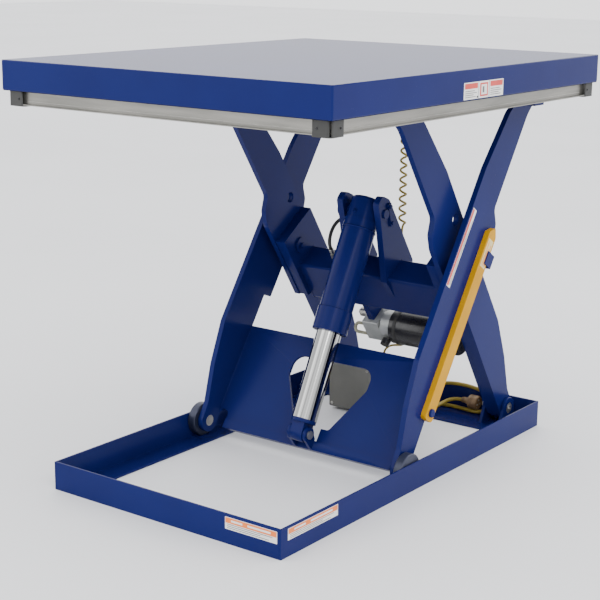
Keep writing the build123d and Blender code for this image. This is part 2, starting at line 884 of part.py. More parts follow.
# Plastic corners outside the rails, wrapped round the lip.
corner_leg = 66
corner_top = skirt_bottom - 0.5
corner_bottom = guard_bottom - 4
corner_reach = guard_lip + 2
guard_travel = 8
with BuildPart() as corners:
    for sx, x in ((-1, guard_left - corner_reach), (1, guard_right + rear_lip + 2)):
        for sy in (-1, 1):
            y = sy * (guard_y + corner_reach)
            with BuildSketch(Plane.XY.offset(corner_bottom)):
                with Locations((x - sx * corner_leg / 2, y - sy * corner_leg / 2)):
                    RectangleRounded(corner_leg, corner_leg, 12)
            extrude(amount=corner_top - corner_bottom)
    with BuildSketch(Plane.XY.offset(corner_bottom + 3)):
        with Locations(((guard_left - guard_lip + guard_right + rear_lip) / 2, 0)):
            Rectangle(guard_right + rear_lip - guard_left + guard_lip + 0.4, 2 * (guard_y + guard_lip + 0.2))
    extrude(amount=corner_top, mode=Mode.SUBTRACT)
    # The rear corners are set in at the top, so that they rise inside the rear skirt.
    with BuildSketch(Plane.XY.offset(corner_top - guard_travel - 1)):
        with Locations((platform_right - steel - 0.6 + corner_leg / 2, 0)):
            Rectangle(corner_leg, platform_width)
    extrude(amount=corner_leg, mode=Mode.SUBTRACT)
save(corners, "toe_guard_corners")

hanger_radius = 4
hanger_head = 8
with BuildPart() as hangers:
    for spot in hanger_spots:
        with BuildSketch(Plane.XY.offset(guard_top - guard_thickness - 0.3)):
            with Locations(spot):
                Circle(hanger_head)
        extrude(amount=-6)
        with BuildSketch(Plane.XY.offset(guard_top - guard_thickness - 0.3)):
            with Locations(spot):
                Circle(hanger_radius)
        extrude(amount=deck_underside - guard_top + guard_thickness + 0.3)
save(hangers, "toe_guard_hangers")

with BuildPart() as springs:
    for spot in hanger_spots:
        with BuildSketch(Plane.XY.offset(guard_top + 0.2)):
            with Locations(spot):
                Circle(8)
                Circle(5.5, mode=Mode.SUBTRACT)
        extrude(amount=deck_underside - guard_top - 0.2)
save(springs, "toe_guard_springs")

# ======================= controls and leads =======================

box_front = 467
box_rear = 640
box_low_y = 83
box_high_y = 260
box_bottom = 11.4
box_top = 183
box_wall = 2
cover_depth = 12
with BuildPart() as box_bracket:
    with BuildSketch(Plane.XY.offset(steel)):
        with Locations(((box_front + 20 + 720) / 2, (box_low_y + box_high_y) / 2)):
            Rectangle(700 - box_front, box_high_y - box_low_y - 30)
    extrude(amount=box_bottom - steel)
save(box_bracket, "control_box_bracket")

with BuildPart() as control_box:
    with BuildSketch(Plane.YZ.offset(box_front + cover_depth)):
        with Locations(((box_low_y + box_high_y) / 2, (box_bottom + box_top) / 2)):
            RectangleRounded(box_high_y - box_low_y, box_top - box_bottom, 4)
    extrude(amount=box_rear - box_front - cover_depth)
    with BuildSketch(Plane.YZ.offset(box_front + cover_depth)):
        with Locations(((box_low_y + box_high_y) / 2, (box_bottom + box_top) / 2)):
            Rectangle(box_high_y - box_low_y - 2 * box_wall, box_top - box_bottom - 2 * box_wall)
    extrude(amount=box_rear - box_front - cover_depth - box_wall, mode=Mode.SUBTRACT)
save(control_box, "control_box")

with BuildPart() as box_cover:
    with BuildSketch(Plane.YZ.offset(box_front)):
        with Locations(((box_low_y + box_high_y) / 2, (box_bottom + box_top) / 2)):
            RectangleRounded(box_high_y - box_low_y, box_top - box_bottom, 4)
    extrude(amount=cover_depth)
    with BuildSketch(Plane.YZ.offset(box_front + box_wall)):
        with Locations(((box_low_y + box_high_y) / 2, (box_bottom + box_top) / 2)):
            Rectangle(box_high_y - box_low_y - 2 * box_wall, box_top - box_bottom - 2 * box_wall)
    extrude(amount=cover_depth - box_wall, mode=Mode.SUBTRACT)
save(box_cover, "control_box_cover")

cord_exit = (560, 67, 40)
lead_gland = (600, 110)
gland_height = 16
with BuildPart() as glands:
    with BuildSketch(side_plane(box_low_y)):
        with Locations((cord_exit[0], cord_exit[2])):
            Circle(12)
    extrude(amount=box_low_y - cord_exit[1])
    with BuildSketch(Plane.XY.offset(box_top)):
        with Locations(lead_gland):
            Circle(9)
    extrude(amount=gland_height)
save(glands, "cable_glands")

# Power cord: heavy round cord from the box, lying in turns against the rear rail.
cord_diameter = 14
cord_route = [
    (560, 67, 40),
    (560, 40, 40),
    (573, 12, 29),
    (606, -10, 17),
    (650, -9, 15),
    (690, 7, 18),
    (720, 13, 32),
    (741, 1, 54),
    (749, -26, 77),
    (751, -66, 93),
    (752, -118, 99.5),
    (752, -174, 99),
    (750, -224, 93),
    (747, -252, 79),
    (743, -263, 56),
    (736, -254, 31),
    (729, -230, 15),
    (727, -190, 14.4),
    (735, -140, 14.6),
    (737, -86, 14.2),
    (724, -38, 14.5),
    (698, -6, 14.3),
    (660, 6, 14.6),
    (628, 0, 14.4),
    (607, -18, 15.5),
    (602, -44, 18),
    (613, -70, 21),
    (637, -86, 25),
    (667, -93, 31),
    (696, -98, 38),
    (720, -112, 45),
    (732, -138, 48.6),
    (732, -168, 48.6),
]


def free_tube(route, diameter):
    """Straight runs with tangent arcs, each as large as its two runs allow."""
    points = [Vector(*p) for p in route]
    runs = [(b - a).length for a, b in zip(points, points[1:])]
    radii = []
    for i in range(1, len(points) - 1):
        turn = math.radians((points[i] - points[i - 1]).get_angle(points[i + 1] - points[i]))
        radii.append(0.45 * min(runs[i - 1], runs[i]) / math.tan(turn / 2))
    print("runs", [round(run) for run in runs])
    print("arc radii", [round(radius) for radius in radii])
    with BuildPart() as tube:
        with BuildLine() as path:
            FilletPolyline(*points, radius=radii)
        wire = path.wires()[0]
        with BuildSketch(Plane(origin=wire @ 0, z_dir=wire % 0)) as disc:
            Circle(diameter / 2)
        sweep(disc.sketch, path=wire)
    drawn = math.pi * diameter**2 / 4 * wire.length
    print("length", round(wire.length), "volume ratio", round(tube.part.volume / drawn, 4))
    return tube


power_cord = free_tube(cord_route, cord_diameter)
save(power_cord, "power_cord")

# Round plug on the cord's end, its face to the near front.
plug_radius = 26
plug_back = Vector(*cord_route[-1])
plug_direction = (plug_back - Vector(*cord_route[-2])).normalized()
plug_plane = Plane(origin=plug_back, z_dir=plug_direction)
with BuildPart() as plug:
    with BuildSketch(plug_plane):
        Circle(11)
    extrude(amount=18)
    with BuildSketch(plug_plane.offset(18)):
        Circle(plug_radius)
    extrude(amount=38)
    fillet(plug.edges().filter_by(GeomType.CIRCLE).group_by(SortBy.RADIUS)[-1], 4)
save(plug, "power_plug")

# Lead of the toe guard's switch: a curly length under the deck, then a plain length to the box.
coil_x = 590
coil_y = 40
coil_radius = 15
coil_bottom = 690
lead_diameter = 8
switch_bottom = 1278
with BuildPart() as switch_box:
    with BuildSketch(Plane.XY.offset(deck_underside)):
        with Locations((coil_x, coil_y)):
            RectangleRounded(64, 52, 5)
    extrude(amount=-(deck_underside - switch_bottom - 12))
    with BuildSketch(Plane.XY.offset(switch_bottom + 12)):
        with Locations((coil_x, coil_y)):
            Circle(9)
    extrude(amount=-12)
save(switch_box, "guard_switch_box")

with BuildPart() as curly_lead:
    with BuildSketch(Plane.XY.offset(coil_bottom)):
        with Locations((coil_x, coil_y)):
            Circle(coil_radius)
    extrude(amount=switch_bottom - coil_bottom)
save(curly_lead, "switch_lead_curly")

lead_route = [
    (coil_x, coil_y, coil_bottom),
    (coil_x, coil_y, 645),
    (590, 32, 598),
    (594, 24, 548),
    (590, 14, 498),
    (593, 6, 446),
    (589, -2, 394),
    (591, -9, 352),
    (589, -11, 318),
    (588, -5, 290),
    (590, 9, 268),
    (594, 29, 255),
    (598, 54, 250),
    (600, 79, 245),
    (600, 99, 232),
    (600, 110, 214.5),
    (600, 110, 199),
]
lower_lead = free_tube(lead_route, lead_diameter)
save(lower_lead, "switch_lead_lower")

# Hydraulic hose from the back of the cylinder's head round the far ear to the tube's top.
hose_diameter = 13
port_angle = (axis_z, 0, -axis_x)
port_x = head_x + head_radius * axis_z
port_z = head_z - head_radius * axis_x
port_length = 20
port_back = (port_x - 3 * axis_z, 0, port_z + 3 * axis_x)
with BuildPart() as head_port:
    with BuildSketch(Plane(origin=port_back, x_dir=(0, 1, 0), z_dir=port_angle)):
        RegularPolygon(11, 6)
    extrude(amount=port_length + 3)
save(head_port, "head_port_fitting")

tube_port_s = tube_top
tube_port_n = 18
tube_port_y = 176
tube_port_x = centre_x - tube_port_s * math.cos(fold) + tube_port_n * math.sin(fold)
tube_port_z = centre_z + tube_port_s * math.sin(fold) + tube_port_n * math.cos(fold)
with BuildPart() as tube_port:
    with BuildSketch(
        Plane(
            origin=(tube_port_x, tube_port_y, tube_port_z),
            x_dir=(0, 1, 0),
            z_dir=(-math.cos(fold), 0, math.sin(fold)),
        )
    ):
        RegularPolygon(11, 6)
    extrude(amount=18)
save(tube_port, "tube_port_fitting")

hose_start = Vector(port_x + port_length * axis_z, 0, port_z - port_length * axis_x)
hose_end = Vector(tube_port_x - 18 * math.cos(fold), tube_port_y, tube_port_z + 18 * math.sin(fold))
hose_route = [
    tuple(hose_start),
    tuple(hose_start + 20 * Vector(axis_z, 0, -axis_x)),
    (390, 7.7, 745.2),
    (402.6, 21.8, 739),
    (409.4, 40.3, 735.5),
    (410, 64, 737),
    (408, 90, 743),
    (402, 117, 748),
    (393, 143, 748),
    (381, 164, 738),
    (367, 177, 720),
    (354, 182, 698),
    (344, 182, 676),
    (337, 179, 657),
    tuple(hose_end + 24 * Vector(-math.cos(fold), 0, math.sin(fold))),
    tuple(hose_end),
]
hose = free_tube(hose_route, hose_diameter)
save(hose, "hydraulic_hose")

# Return tube below the lowering valve: out of the block, down, and back into it.
return_diameter = 12
return_reach = block_far + 60
with BuildPart() as return_hose:
    with BuildLine() as loop:
        FilletPolyline(
            (unit_x - 9, block_far, unit_z - 11),
            (unit_x - 9, return_reach, unit_z - 11),
            (unit_x - 16, return_reach, unit_z - 43),
            (unit_x - 16, block_far, unit_z - 43),
            radius=15,
        )
    with BuildSketch(Plane(origin=loop.line @ 0, z_dir=loop.line % 0)):
        Circle(return_diameter / 2)
    sweep()
save(return_hose, "return_tube")
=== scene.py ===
"""A hydraulic scissor lift table: finishes, cords, labels and small hardware on its frame."""

import json
import math

import bpy
from mathutils import Matrix, Vector


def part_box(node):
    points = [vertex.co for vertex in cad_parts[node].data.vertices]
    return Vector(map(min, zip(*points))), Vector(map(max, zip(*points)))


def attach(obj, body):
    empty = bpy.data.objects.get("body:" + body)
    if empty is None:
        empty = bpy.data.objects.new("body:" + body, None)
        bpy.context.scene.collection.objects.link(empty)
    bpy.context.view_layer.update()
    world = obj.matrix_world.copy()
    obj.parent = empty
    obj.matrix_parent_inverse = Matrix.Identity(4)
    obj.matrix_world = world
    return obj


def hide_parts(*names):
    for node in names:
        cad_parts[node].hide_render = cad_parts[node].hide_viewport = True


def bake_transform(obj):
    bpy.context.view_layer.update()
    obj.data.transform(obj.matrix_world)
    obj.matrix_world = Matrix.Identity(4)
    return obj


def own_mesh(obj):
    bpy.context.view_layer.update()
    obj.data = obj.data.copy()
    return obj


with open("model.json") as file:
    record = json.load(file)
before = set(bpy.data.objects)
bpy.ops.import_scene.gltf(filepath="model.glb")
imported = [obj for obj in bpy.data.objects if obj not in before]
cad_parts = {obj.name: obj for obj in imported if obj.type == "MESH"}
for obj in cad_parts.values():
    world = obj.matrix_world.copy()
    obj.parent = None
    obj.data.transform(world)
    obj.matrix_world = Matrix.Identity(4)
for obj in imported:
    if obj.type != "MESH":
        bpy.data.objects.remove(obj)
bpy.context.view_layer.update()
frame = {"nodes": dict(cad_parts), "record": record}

# ---------------------------------------------------------------- places worked out from the frame
X, Y, Z = Vector((1, 0, 0)), Vector((0, 1, 0)), Vector((0, 0, 1))


def low(node):
    return Vector(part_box(node)[0])


def high(node):
    return Vector(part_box(node)[1])


def joint_place(name):
    return Vector(next(j["pos_m"] for j in frame["record"]["behaviour"]["joints"] if j["name"] == name))


leg_centre = joint_place("scissor_centre")
leg_foot = joint_place("lift")
leg_tilt = math.atan2(leg_centre.z - leg_foot.z, leg_foot.x - leg_centre.x)


def on_outer_leg(along, over, y):
    """A point by its distance up the outer legs from the centre pin and across them."""
    return leg_centre + Vector(
        (
            along * math.cos(leg_tilt) - over * math.sin(leg_tilt),
            y,
            along * math.sin(leg_tilt) + over * math.cos(leg_tilt),
        )
    )


def on_inner_leg(along, over, y):
    """The same for the inner legs, whose upper end is at the roller."""
    return leg_centre + Vector(
        (
            -along * math.cos(leg_tilt) + over * math.sin(leg_tilt),
            y,
            along * math.sin(leg_tilt) + over * math.cos(leg_tilt),
        )
    )


# ---------------------------------------------------------------- camera
def add_camera():
    yaw, pitch, roll = math.radians(36.59), math.radians(13.58), math.radians(0.63)
    forward = Vector(
        (math.cos(yaw) * math.cos(pitch), math.sin(yaw) * math.cos(pitch), -math.sin(pitch))
    )
    level = Vector((math.sin(yaw), -math.cos(yaw), 0))
    above = level.cross(forward)
    right = level * math.cos(roll) + above * math.sin(roll)
    up = above * math.cos(roll) - level * math.sin(roll)
    data = bpy.data.cameras.new("camera")
    data.lens = 87.61
    data.sensor_width = 36
    camera = bpy.data.objects.new("camera", data)
    bpy.context.collection.objects.link(camera)
    camera.matrix_world = Matrix.Translation((-3.7717, -2.7454, 1.6666)) @ (
        Matrix((right, up, -forward)).transposed().to_4x4()
    )
    bpy.context.scene.camera = camera


add_camera()


# ---------------------------------------------------------------- finishes
def finish(name, colours, rough, metallic=0.0, coat=0.0, blotch=3.0, grain=250.0, bump=0.1,
           stretch=(1, 1, 1), specular=0.5, lean=0.0):
    """A surface whose colour drifts between two tones and whose gloss and grain vary finely.

    The pattern is drawn out by stretch along axes that lean about Y.
    """
    made = bpy.data.materials.new(name)
    made.use_nodes = True
    tree = made.node_tree
    surface = tree.nodes["Principled BSDF"]
    surface.inputs["Metallic"].default_value = metallic
    surface.inputs["Coat Weight"].default_value = coat
    surface.inputs["Coat Roughness"].default_value = 0.12
    surface.inputs["Specular IOR Level"].default_value = specular
    place = tree.nodes.new("ShaderNodeTexCoord")
    mapping = tree.nodes.new("ShaderNodeMapping")
    mapping.vector_type = "TEXTURE"
    mapping.inputs["Rotation"].default_value = (0, lean, 0)
    mapping.inputs["Scale"].default_value = [1 / factor for factor in stretch]
    tree.links.new(place.outputs["Object"], mapping.inputs["Vector"])
    clouds = tree.nodes.new("ShaderNodeTexNoise")
    clouds.inputs["Scale"].default_value = blotch
    clouds.inputs["Detail"].default_value = 4
    tones = tree.nodes.new("ShaderNodeValToRGB")
    tones.color_ramp.elements[0].position = 0.35
    tones.color_ramp.elements[1].position = 0.65
    for stop, colour in zip(tones.color_ramp.elements, colours):
        stop.color = (*colour, 1)
    fine = tree.nodes.new("ShaderNodeTexNoise")
    fine.inputs["Scale"].default_value = grain
    fine.inputs["Detail"].default_value = 2
    gloss = tree.nodes.new("ShaderNodeMapRange")
    gloss.inputs["To Min"].default_value = rough[0]
    gloss.inputs["To Max"].default_value = rough[1]
    relief = tree.nodes.new("ShaderNodeBump")
    relief.inputs["Strength"].default_value = bump
    relief.inputs["Distance"].default_value = 0.0005
    for noise in (clouds, fine):
        tree.links.new(mapping.outputs["Vector"], noise.inputs["Vector"])
    tree.links.new(clouds.outputs["Fac"], tones.inputs["Fac"])
    tree.links.new(tones.outputs["Color"], surface.inputs["Base Color"])
    tree.links.new(fine.outputs["Fac"], gloss.inputs["Value"])
    tree.links.new(gloss.outputs["Result"], surface.inputs["Roughness"])
    tree.links.new(fine.outputs["Fac"], relief.inputs["Height"])
    tree.links.new(relief.outputs["Normal"], surface.inputs["Normal"])
    return made


ROD_AXIS = next(j["axis"] for j in frame["record"]["behaviour"]["joints"] if j["name"] == "rod_stroke")
BLUE = ((0.0045, 0.0085, 0.083), (0.0055, 0.0108, 0.097))
FINISHES = {
    "blue_paint": finish("blue_paint", BLUE, (0.2, 0.3), bump=0.03, specular=0.1),
    "yellow_paint": finish(
        "yellow_paint", ((0.50, 0.245, 0.001), (0.56, 0.28, 0.002)), (0.3, 0.4), specular=0.1,
        blotch=9, bump=0.03
    ),
    "grey_paint": finish(
        "grey_paint", ((0.135, 0.135, 0.12), (0.17, 0.168, 0.15)), (0.35, 0.5), bump=0.1,
        blotch=8, specular=0.3
    ),
    "grey_block": finish(
        "grey_block", ((0.34, 0.35, 0.34), (0.44, 0.45, 0.44)), (0.35, 0.55), metallic=0.5, blotch=20
    ),
    "guard_aluminium": finish(
        "guard_aluminium", ((0.22, 0.215, 0.195), (0.30, 0.29, 0.265)), (0.3, 0.48), metallic=0.75,
        blotch=14, grain=160, stretch=(0.3, 0.3, 3)
    ),
    "corner_plastic": finish(
        "corner_plastic", ((0.012, 0.012, 0.011), (0.022, 0.022, 0.02)), (0.45, 0.6), bump=0.4
    ),
    "black_housing": finish(
        "black_housing", ((0.008, 0.008, 0.009), (0.016, 0.016, 0.017)), (0.22, 0.36), coat=0.2, blotch=12
    ),
    "zinc_steel": finish(
        "zinc_steel", ((0.42, 0.41, 0.37), (0.58, 0.57, 0.53)), (0.28, 0.46), metallic=0.9, blotch=40
    ),
    # The chrome rod's colour swings between dark and bright in streaks drawn out along its axis: painted
    # reflection bands.
    "chrome_rod": finish(
        "chrome_rod", ((0.10, 0.10, 0.10), (0.62, 0.62, 0.61)), (0.06, 0.14), metallic=1.0,
        blotch=70, bump=0.02, stretch=(1, 1, 0.004), lean=math.atan2(ROD_AXIS[0], ROD_AXIS[2])
    ),
    "hose_rubber": finish(
        "hose_rubber", ((0.010, 0.010, 0.010), (0.022, 0.022, 0.021)), (0.38, 0.55), blotch=30, bump=0.35
    ),
    "cord_yellow": finish(
        "cord_yellow", ((0.24, 0.17, 0.012), (0.32, 0.23, 0.02)), (0.36, 0.5), blotch=26, bump=0.2
    ),
    "plug_brown": finish(
        "plug_brown", ((0.17, 0.10, 0.045), (0.27, 0.17, 0.08)), (0.35, 0.5), blotch=50, bump=0.25
    ),
    "roller_steel": finish(
        "roller_steel", ((0.02, 0.025, 0.05), (0.035, 0.04, 0.07)), (0.3, 0.48), metallic=0.4, blotch=18
    ),
    "motor_iron": finish(
        "motor_iron", ((0.018, 0.018, 0.018), (0.035, 0.034, 0.032)), (0.4, 0.62), bump=0.5, blotch=16
    ),
}
LABEL_WHITE = finish("label_white", ((0.72, 0.72, 0.7), (0.8, 0.8, 0.78)), (0.3, 0.4), blotch=30, bump=0.03)
LABEL_RED = finish("label_red", ((0.55, 0.03, 0.02), (0.62, 0.045, 0.03)), (0.3, 0.4), blotch=30, bump=0.03)
LABEL_ORANGE = finish(
    "label_orange", ((0.75, 0.16, 0.02), (0.82, 0.2, 0.03)), (0.3, 0.4), blotch=30, bump=0.03
)
LABEL_GREY = finish("label_grey", ((0.06, 0.06, 0.06), (0.1, 0.1, 0.1)), (0.3, 0.4), blotch=90, bump=0.03)
LABEL_PALE = finish("label_pale", ((0.62, 0.5, 0.2), (0.68, 0.56, 0.26)), (0.3, 0.4), blotch=30, bump=0.03)

for part in frame["record"]["subparts"]:
    shown = frame["nodes"][part["node"]]
    shown.data.materials.clear()
    shown.data.materials.append(FINISHES[part["material_slot"]])

frame["nodes"]["return_tube"].data.materials[0] = finish(
    "return_tube_olive", ((0.26, 0.25, 0.17), (0.36, 0.35, 0.25)), (0.2, 0.3), blotch=30, bump=0.05
)

# Cut and folded steel has slightly rounded edges that catch the light.
SOFT_EDGES = {
    0.005: ["platform_deck"],
    0.0022: ["cross_tube", "safety_bar", "toe_guard_corners", "control_box"],
    0.0012: [
        "base_side_rails", "base_end_rails", "base_end_plate", "outer_legs", "inner_legs", "leg_doublers",
        "torque_plate", "cylinder_ears", "foot_bar", "lower_pivot_lugs", "upper_pivot_lugs", "roller_tracks",
        "deck_stiffeners", "control_box_cover", "head_pin_keeper", "rod_end_saddle", "valve_block",
    ],
}
for width, names in SOFT_EDGES.items():
    for name in names:
        solid = frame["nodes"][name]
        weld = solid.modifiers.new("join", "WELD")
        weld.merge_threshold = 0.00003
        bevel = solid.modifiers.new("edges", "BEVEL")
        bevel.width = width
        bevel.segments = 2
        bevel.limit_method = "ANGLE"
        bevel.angle_limit = math.radians(40)
        bevel.use_clamp_overlap = True
        bevel.harden_normals = True


# ---------------------------------------------------------------- mesh helpers
def new_piece(name, vertices, faces, materials, marks=None, smooth=True):
    mesh = bpy.data.meshes.new(name)
    mesh.from_pydata([tuple(v) for v in vertices], [], faces)
    for one in materials:
        mesh.materials.append(one)
    for i, face in enumerate(mesh.polygons):
        face.use_smooth = smooth
        if marks:
            face.material_index = marks[i]
    mesh.update()
    piece = bpy.data.objects.new(name, mesh)
    bpy.context.collection.objects.link(piece)
    return piece


def axes_across(axis):
    """Two directions square to an axis and to each other."""
    helper = Z if abs(axis.z) < 0.8 else X
    first = helper.cross(axis).normalized()
    return first, axis.cross(first)


def hexagon(angle):
    """Radius of a hexagon of unit corner radius, by angle."""
    return math.cos(math.pi / 6) / math.cos(angle % (math.pi / 3) - math.pi / 6)


def turned(vertices, faces, at, axis, rings, steps=24, hollow=False):
    """Adds a body turned about an axis. A ring is (radius, height, "round" or "hex").

    A hollow body is open through its middle: its last ring joins its first.
    """
    first, second = axes_across(axis)
    start = len(vertices)
    for radius, height, form in rings:
        for i in range(steps):
            angle = 2 * math.pi * i / steps
            size = radius * (hexagon(angle) if form == "hex" else 1)
            spoke = first * math.cos(angle) + second * math.sin(angle)
            vertices.append(at + axis * height + spoke * size)
    for ring in range(len(rings) - 1):
        for i in range(steps):
            a = start + ring * steps + i
            b = start + ring * steps + (i + 1) % steps
            faces.append((a, b, b + steps, a + steps))
    last = start + (len(rings) - 1) * steps
    if hollow:
        for i in range(steps):
            after = (i + 1) % steps
            faces.append((last + i, last + after, start + after, start + i))
        return
    faces.append(tuple(reversed(range(start, start + steps))))
    faces.append(tuple(range(last, last + steps)))


def sharpen(piece, degrees=35):
    """Flat shading across sharp edges, smooth elsewhere."""
    mesh = piece.data
    mesh.set_sharp_from_angle(angle=math.radians(degrees))
    return piece


def cap_screws(name, body, spots, radius, finish_name):
    """Round-headed screws with a hexagon socket. A spot is (place, outward axis)."""
    vertices, faces = [], []
    height = radius * 0.75
    for at, axis in spots:
        rings = [
            (radius * 1.35, -0.0005, "round"),
            (radius * 1.35, radius * 0.12, "round"),
            (radius, radius * 0.14, "round"),
            (radius, height * 0.6, "round"),
            (radius * 0.82, height, "round"),
            (radius * 0.5, height, "hex"),
            (radius * 0.48, height * 0.45, "hex"),
        ]
        turned(vertices, faces, at, axis, rings)
    piece = sharpen(new_piece(name, vertices, faces, [FINISHES[finish_name]]))
    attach(piece, body)
    return piece


def weld_beads(name, body, runs, radius=0.0034):
    """Rippled fillets of weld along straight runs, given as pairs of points."""
    vertices, faces = [], []
    ripple = 0.0035
    steps = 8
    for start_point, end_point in runs:
        along = (end_point - start_point).normalized()
        first, second = axes_across(along)
        count = max(4, int((end_point - start_point).length / (ripple / 2)))
        base = len(vertices)
        for i in range(count + 1):
            share = i / count
            swell = 1.0 + (0.13 if i % 2 else -0.1)
            wander = 0.06 * math.sin(i * 0.7) + 0.05 * math.sin(i * 0.23 + 1)
            pinch = min(1.0, 0.25 + 4 * radius * 50 * min(share, 1 - share) + 0.15)
            size = radius * (swell + wander) * pinch
            centre = start_point.lerp(end_point, share)
            for k in range(steps):
                angle = 2 * math.pi * k / steps
                vertices.append(centre + (first * math.cos(angle) + second * math.sin(angle)) * size)
        for i in range(count):
            for k in range(steps):
                a = base + i * steps + k
                b = base + i * steps + (k + 1) % steps
                faces.append((a, b, b + steps, a + steps))
        faces.append(tuple(reversed(range(base, base + steps))))
        faces.append(tuple(range(base + count * steps, base + (count + 1) * steps)))
    piece = new_piece(name, vertices, faces, [FINISHES["blue_paint"]])
    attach(piece, body)
    return piece


def label(name, body, corner, across, up, size, blocks):
    """A thin film with raised colour blocks. A block is (left, bottom, right, top, material, layer)."""
    outward = across.cross(up)
    vertices, faces, marks, inks = [], [], [], []
    film = 0.0004
    for left, bottom, right, top, ink, layer in blocks:
        if ink not in inks:
            inks.append(ink)
        base = len(vertices)
        for depth in (0.0, film * layer):
            for share_x, share_y in ((left, bottom), (right, bottom), (right, top), (left, top)):
                vertices.append(
                    corner + across * share_x * size[0] + up * share_y * size[1] + outward * depth
                )
        sides = [(0, 1, 2, 3), (4, 5, 6, 7), (0, 1, 5, 4), (1, 2, 6, 5), (2, 3, 7, 6), (3, 0, 4, 7)]
        for side in sides:
            faces.append(tuple(base + i for i in side))
            marks.append(inks.index(ink))
    piece = new_piece(name, vertices, faces, inks, marks, smooth=False)
    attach(piece, body)
    return piece


def text_lines(left, bottom, right, top, rows, ink, layer=2):
    """Plain rules that stand for rows of small print."""
    made = []
    pitch = (top - bottom) / rows
    for row in range(rows):
        end = right - (right - left) * (0.12, 0.3, 0.05, 0.22)[row % 4]
        base = bottom + pitch * row
        made.append((left, base + pitch * 0.3, end, base + pitch * 0.62, ink, layer))
    return made


# ---------------------------------------------------------------- cords
def route_curve(name, points, diameter, finish_name, smoothness=8):
    """A NURBS curve through a route of control points, as a round cord."""
    curve = bpy.data.curves.new(name, "CURVE")
    curve.dimensions = "3D"
    curve.resolution_u = smoothness
    curve.bevel_depth = diameter / 2
    curve.bevel_resolution = 4
    curve.use_fill_caps = True
    curve.materials.append(FINISHES[finish_name])
    spline = curve.splines.new("NURBS")
    spline.points.add(len(points) - 1)
    for control, place in zip(spline.points, points):
        control.co = (*place, 1)
    spline.order_u = 3
    spline.use_endpoint_u = True
    cord = bpy.data.objects.new(name, curve)
    bpy.context.collection.objects.link(cord)
    return cord


def centre_line(cord):
    """The points of a curve's own line."""
    thickness = cord.data.bevel_depth
    cord.data.bevel_depth = 0
    mesh = bpy.data.meshes.new_from_object(cord)
    cord.data.bevel_depth = thickness
    line = [v.co.copy() for v in mesh.vertices]
    bpy.data.meshes.remove(mesh)
    return line


def as_mesh(cord):
    """The same cord as a mesh of the same name."""
    name = cord.name
    mesh = bpy.data.meshes.new_from_object(cord)
    bpy.data.objects.remove(cord)
    for face in mesh.polygons:
        face.use_smooth = True
    piece = bpy.data.objects.new(name, mesh)
    bpy.context.collection.objects.link(piece)
    return piece


def line_length(line):
    return sum((b - a).length for a, b in zip(line, line[1:]))


POWER_ROUTE = [
    (0.560, 0.067, 0.040),
    (0.560, 0.040, 0.040),
    (0.573, 0.012, 0.029),
    (0.606, -0.010, 0.017),
    (0.650, -0.009, 0.015),
    (0.690, 0.007, 0.018),
    (0.720, 0.013, 0.032),
    (0.741, 0.001, 0.054),
    (0.749, -0.026, 0.077),
    (0.751, -0.066, 0.093),
    (0.752, -0.118, 0.0995),
    (0.752, -0.174, 0.099),
    (0.750, -0.224, 0.093),
    (0.747, -0.252, 0.079),
    (0.743, -0.263, 0.056),
    (0.736, -0.254, 0.031),
    (0.729, -0.230, 0.015),
    (0.727, -0.190, 0.0144),
    (0.735, -0.140, 0.0146),
    (0.737, -0.086, 0.0142),
    (0.724, -0.038, 0.0145),
    (0.698, -0.006, 0.0143),
    (0.660, 0.006, 0.0146),
    (0.628, 0.000, 0.0144),
    (0.607, -0.018, 0.0155),
    (0.602, -0.044, 0.018),
    (0.613, -0.070, 0.021),
    (0.637, -0.086, 0.025),
    (0.667, -0.093, 0.031),
    (0.696, -0.098, 0.038),
    (0.720, -0.112, 0.045),
    (0.732, -0.138, 0.0486),
    (0.732, -0.168, 0.0486),
]


def add_power_cord():
    diameter = 0.014
    cord = route_curve("mains_cord", POWER_ROUTE, diameter, "cord_yellow")
    length = line_length(centre_line(cord))
    back = Vector(POWER_ROUTE[-1])
    axis = (back - Vector(POWER_ROUTE[-2])).normalized()
    vertices, faces = [], []
    rings = [(0.0074, -0.016, "round")]
    for rib in range(4):
        base = -0.014 + rib * 0.0035
        rings += [(0.0082 + rib * 0.0006, base, "round"), (0.0098 + rib * 0.0006, base + 0.0008, "round")]
        rings += [
            (0.0098 + rib * 0.0006, base + 0.0024, "round"),
            (0.0082 + rib * 0.0006, base + 0.0032, "round"),
        ]
    rings += [(0.0115, 0.0005, "round"), (0.013, 0.010, "round"), (0.0175, 0.017, "round")]
    rings += [(0.0255, 0.020, "round"), (0.026, 0.023, "round"), (0.026, 0.030, "round")]
    rings += [(0.0245, 0.031, "round"), (0.0245, 0.0335, "round"), (0.026, 0.0345, "round")]
    rings += [(0.026, 0.052, "round"), (0.0235, 0.0555, "round"), (0.019, 0.056, "round")]
    rings += [(0.0185, 0.0535, "round")]
    turned(vertices, faces, back, axis, rings, 36)
    body = sharpen(new_piece("mains_plug", vertices, faces, [FINISHES["plug_brown"]]))
    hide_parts("power_plug")
    vertices, faces = [], []
    first, second = axes_across(axis)
    blade = [(0.0036, 0.05, "round"), (0.0036, 0.0545, "round"), (0.0030, 0.056, "round")]
    for turn in (90, 210, 330):
        angle = math.radians(turn)
        spot = back + (first * math.cos(angle) + second * math.sin(angle)) * 0.0105
        turned(vertices, faces, spot, axis, blade, 12)
    for turn in (45, 225):
        angle = math.radians(turn)
        spot = back + (first * math.cos(angle) + second * math.sin(angle)) * 0.0212
        turned(vertices, faces, spot, axis, [(0.0022, 0.052, "round"), (0.0022, 0.0562, "hex")], 12)
    contacts = sharpen(new_piece("mains_plug_contacts", vertices, faces, [FINISHES["zinc_steel"]]))
    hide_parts("power_cord")
    for piece in (cord, body, contacts):
        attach(piece, "base")


